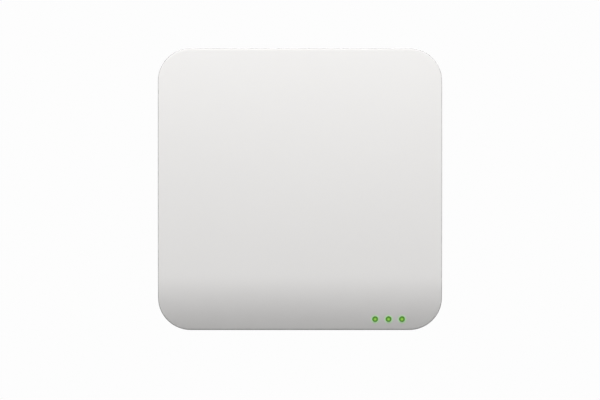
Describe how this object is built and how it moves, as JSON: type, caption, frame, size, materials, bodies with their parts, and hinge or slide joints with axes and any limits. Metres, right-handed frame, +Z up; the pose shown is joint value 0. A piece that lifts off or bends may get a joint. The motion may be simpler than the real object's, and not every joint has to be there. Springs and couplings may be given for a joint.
{
  "type": "ceiling access point",
  "caption": "Rounded-square white radio unit with a gently domed cover and green status lights, hung by studs on a steel mounting plate and held by a security screw.",
  "frame": {"origin": "centre of the four ceiling screw holes, on the back face of the mounting plate", "axes": "+Y out of the back into the ceiling or wall, face towards -Y, +Z up in the wall position with the status lights at the low right, +X to the right seen from the front; on a ceiling -Y points down"},
  "size_m": [0.171, 0.036, 0.17],
  "materials": {
    "cover_white": "satin moulded white, fine even texture",
    "housing_white": "satin moulded white, slightly greyer than the cover",
    "plate_steel": "zinc plated sheet steel",
    "stud_steel": "turned steel, nickel plated",
    "screw_steel": "zinc plated",
    "brass": "turned brass",
    "board_laminate": "solder mask over glass fibre laminate",
    "component_black": "moulded epoxy",
    "ferrite": "sintered ferrite",
    "winding_tape": "polyester tape over the winding",
    "capacitor_can": "drawn aluminium can",
    "ceramic": "fired ceramic",
    "thermal_pad": "soft filled silicone",
    "spreader_aluminium": "plain sheet aluminium",
    "tinned_steel": "tin plated sheet",
    "patch_metal": "tin plated brass sheet",
    "nylon": "natural nylon",
    "jack_plating": "nickel plated sheet",
    "jack_plastic": "moulded black",
    "gold_contact": "gold plated spring wire",
    "led_green": "clear epoxy over a green chip, lit",
    "mask_rubber": "black silicone",
    "light_pipe_acrylic": "clear acrylic, lit green from inside",
    "switch_plastic": "moulded black",
    "plunger_plastic": "moulded acetal"
  },
  "bodies": {
    "mounting_plate": {"mounting_plate": "plate_steel", "lock_bush": "brass"},
    "access_point": {"front_cover": "cover_white", "rear_housing": "housing_white", "hanger_studs": "stud_steel", "stud_inserts": "brass", "case_screws": "screw_steel", "case_inserts": "brass", "board_screws": "screw_steel", "main_board": "board_laminate", "ethernet_magnetics": "component_black", "poe_transformer_core": "ferrite", "poe_transformer_winding": "winding_tape", "bulk_capacitors": "capacitor_can", "power_inductors": "ferrite", "processor": "component_black", "thermal_pad": "thermal_pad", "heat_spreader": "spreader_aluminium", "memory_chip": "component_black", "radio_chips": "component_black", "chip_capacitors": "ceramic", "shield_frame": "tinned_steel", "shield_lid": "tinned_steel", "antenna_patches": "patch_metal", "antenna_posts": "nylon", "antenna_feed_pins": "brass", "ethernet_jack_shell": "jack_plating", "ethernet_jack_insert": "jack_plastic", "ethernet_jack_contacts": "gold_contact", "status_leds": "led_green", "light_mask": "mask_rubber", "light_pipe": "light_pipe_acrylic", "reset_switch": "switch_plastic"},
    "security_screw": {"lock_screw": "screw_steel"},
    "reset_plunger": {"reset_plunger": "plunger_plastic"}
  },
  "joints": [
    {"name": "lift_off", "type": "slide", "parent": "mounting_plate", "child": "access_point", "axis": [0, 0, 1], "range_m": [0, 0.009]},
    {"name": "lock_advance", "type": "slide", "parent": "access_point", "child": "security_screw", "axis": [0, 0, 1], "range_m": [0, 0.0045]},
    {"name": "reset_press", "type": "slide", "parent": "access_point", "child": "reset_plunger", "axis": [0, -1, 0], "range_m": [0, 0.0003], "stiffness_N_per_m": 2000}
  ]
}
